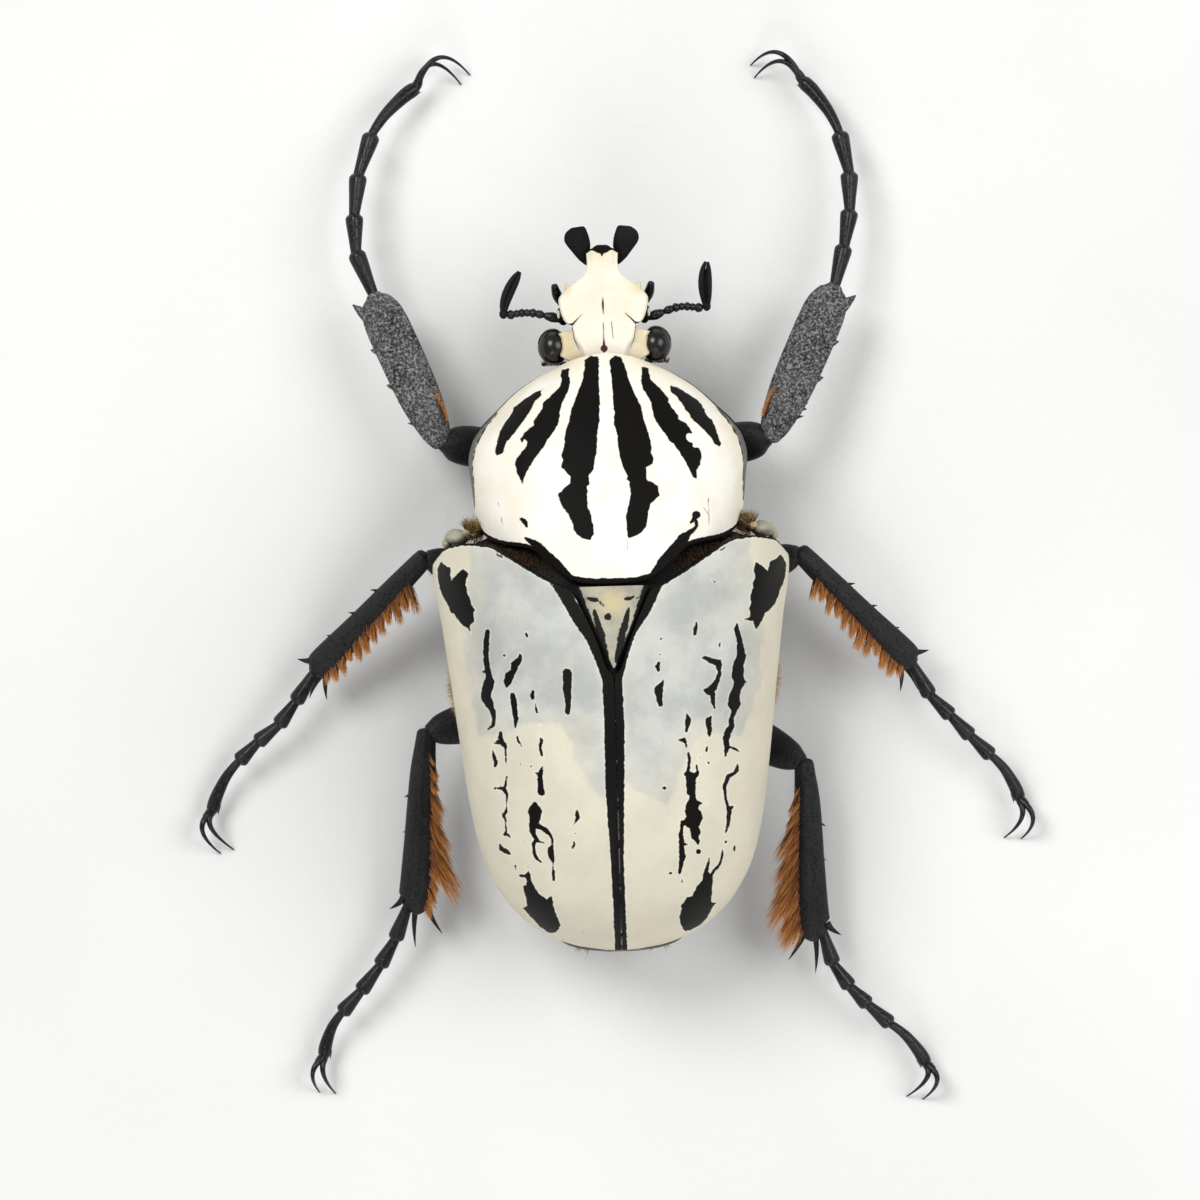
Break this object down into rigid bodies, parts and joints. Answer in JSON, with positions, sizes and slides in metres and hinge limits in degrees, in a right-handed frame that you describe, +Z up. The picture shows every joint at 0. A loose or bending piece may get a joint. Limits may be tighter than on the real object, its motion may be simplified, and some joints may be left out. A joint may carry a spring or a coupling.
{
  "type": "goliath beetle",
  "caption": "Still, life-size model of a goliath beetle with black-striped ivory plates, forked head horns and six spread, clawed legs.",
  "frame": {"origin": "on the floor, under the middle of the animal's whole spread of legs and horns", "axes": "-Y the way the head points, +X to the animal's left, +Z up from the floor on which the claws stand"},
  "size_m": [0.0993, 0.1261, 0.0312],
  "materials": {
    "wing_case": "satin hard plate, blue-grey to cream with black streaks",
    "ivory_plate": "satin hard plate, ivory with black stripes",
    "pale_plate": "matt hard plate, grey white",
    "belly": "polished dark hard plate",
    "black_horn": "satin to gloss black horn",
    "fringed_leg": "satin black horn with an orange-brown comb of hair",
    "eye": "glossy black"
  },
  "bodies": {
    "root": {"abdomen": "belly", "antenna_club_left": "black_horn", "antenna_club_right": "black_horn", "antenna_left": "black_horn", "antenna_right": "black_horn", "claws_fore_left": "black_horn", "claws_fore_right": "black_horn", "claws_hind_left": "black_horn", "claws_hind_right": "black_horn", "claws_mid_left": "black_horn", "claws_mid_right": "black_horn", "coxa_fore_left": "black_horn", "coxa_fore_right": "black_horn", "coxa_hind_left": "black_horn", "coxa_hind_right": "black_horn", "coxa_mid_left": "black_horn", "coxa_mid_right": "black_horn", "elytron_left": "wing_case", "elytron_right": "wing_case", "eye_left": "eye", "eye_right": "eye", "femur_fore_left": "black_horn", "femur_fore_right": "black_horn", "femur_hind_left": "black_horn", "femur_hind_right": "black_horn", "femur_mid_left": "black_horn", "femur_mid_right": "black_horn", "head": "ivory_plate", "horn_left": "black_horn", "horn_right": "black_horn", "mesepimeron_left": "pale_plate", "mesepimeron_right": "pale_plate", "mouthparts": "black_horn", "palp_left": "black_horn", "palp_right": "black_horn", "prothorax": "ivory_plate", "pygidium": "belly", "scutellum": "pale_plate", "tarsus_fore_left": "black_horn", "tarsus_fore_right": "black_horn", "tarsus_hind_left": "black_horn", "tarsus_hind_right": "black_horn", "tarsus_mid_left": "black_horn", "tarsus_mid_right": "black_horn", "thorax": "belly", "tibia_fore_left": "black_horn", "tibia_fore_right": "black_horn", "tibia_hind_left": "fringed_leg", "tibia_hind_right": "fringed_leg", "tibia_mid_left": "fringed_leg", "tibia_mid_right": "fringed_leg"}
  },
  "joints": []
}
